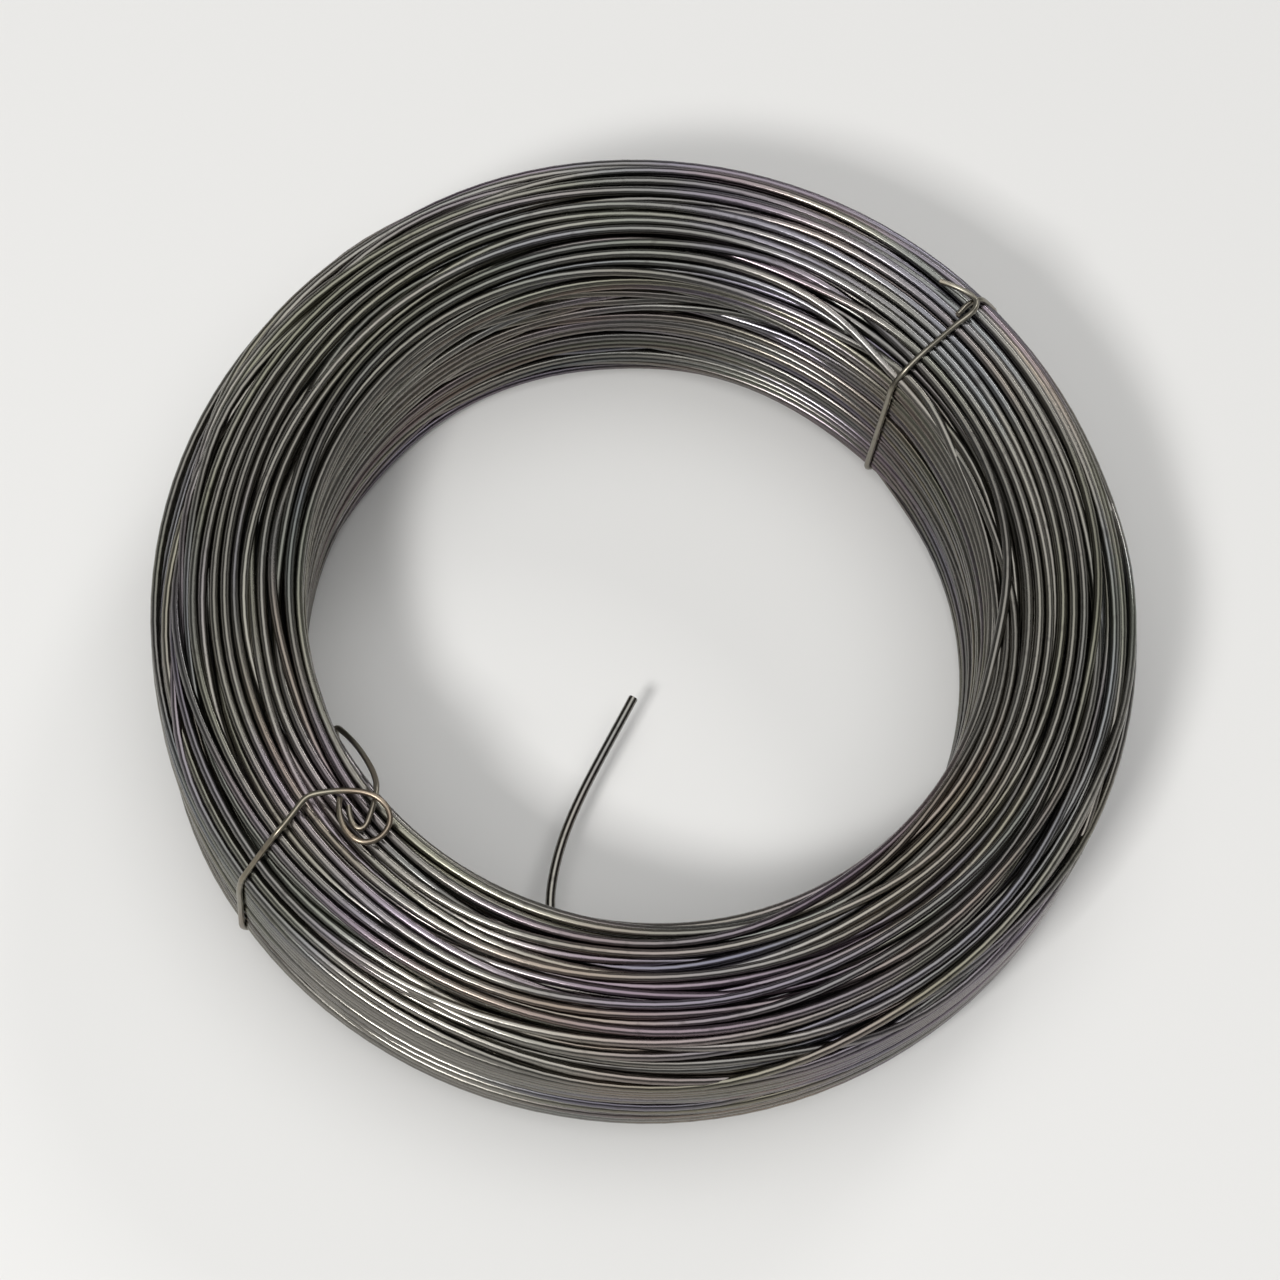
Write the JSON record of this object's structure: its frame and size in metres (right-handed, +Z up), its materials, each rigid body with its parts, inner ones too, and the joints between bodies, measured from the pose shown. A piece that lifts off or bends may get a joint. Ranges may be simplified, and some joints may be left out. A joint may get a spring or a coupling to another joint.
{
  "type": "coil of steel wire",
  "caption": "Flat ring-shaped coil of dark annealed steel wire, wound with an open eye, held together by binding ties of thinner wire.",
  "frame": {"origin": "on the axis of the coil, at the level of its underside", "axes": "+Z up along the axis of the coil, +X to the right and +Y to the far side as the picture sees it"},
  "size_m": [0.184, 0.184, 0.0513],
  "materials": {
    "coil_wire": "black annealed drawn wire with a thin film of oil, semi-gloss",
    "tie_wire": "annealed thin wire, dull, with light rust"
  },
  "bodies": {
    "root": {"wire_coil": "coil_wire", "first_tie": "tie_wire", "second_tie": "tie_wire"}
  },
  "joints": []
}
